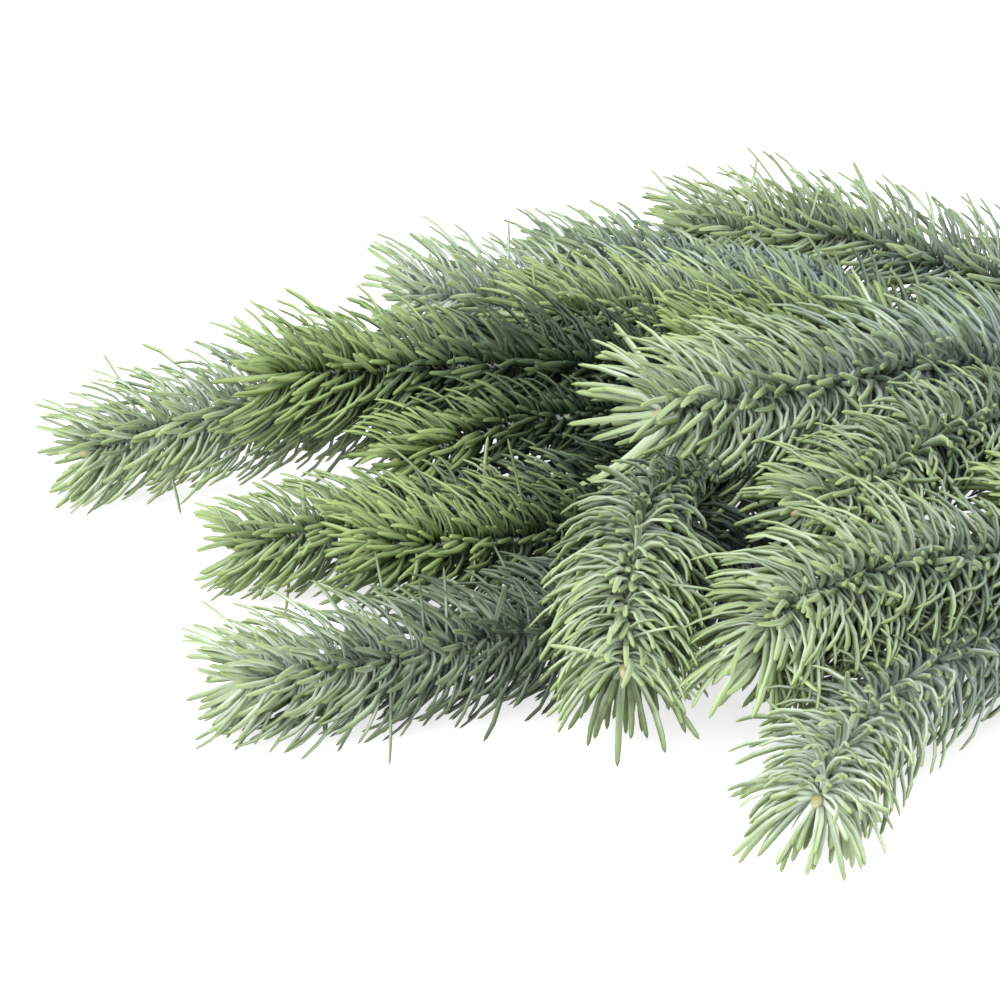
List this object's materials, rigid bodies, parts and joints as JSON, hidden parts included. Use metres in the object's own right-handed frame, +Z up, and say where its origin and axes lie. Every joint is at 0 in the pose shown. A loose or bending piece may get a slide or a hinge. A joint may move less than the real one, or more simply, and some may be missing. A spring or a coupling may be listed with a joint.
{
  "type": "spruce branch",
  "caption": "Cut spruce branch lying on a table: a bare woody stem that forks into needled shoots, with blunt curved green needles and pale frost on their upper sides.",
  "frame": {"origin": "the middle of the branch's footprint, on the surface that it lies on", "axes": "+X along the branch towards the cut end of its stem, with the shoots towards -X; +Z up from the table; +Y away from the side that the picture looks from"},
  "size_m": [0.4884, 0.3396, 0.0932],
  "materials": {
    "bark": "matt brown-green bark with pale frost",
    "needles": "satin sage to yellow-green needles with pale frost"
  },
  "bodies": {
    "root": {"main_stem": "bark", "side_stem_far_back": "bark", "side_stem_back": "bark", "side_stem_back_left": "bark", "side_stem_front_left": "bark", "side_stem_front": "bark", "shoot_far_left": "needles", "shoot_left_upper": "needles", "shoot_back_left": "needles", "shoot_back_middle": "needles", "shoot_back_right": "needles", "shoot_back_inner": "needles", "shoot_upper_back": "needles", "shoot_upper_inner": "needles", "shoot_upper_middle": "needles", "shoot_leader": "needles", "shoot_low_left": "needles", "shoot_middle_left": "needles", "shoot_front_left": "needles", "shoot_drooping": "needles", "shoot_front_middle": "needles", "shoot_front_right": "needles", "shoot_right_end": "needles", "shoot_upper_right": "needles", "shoot_right_inner": "needles"}
  },
  "joints": []
}
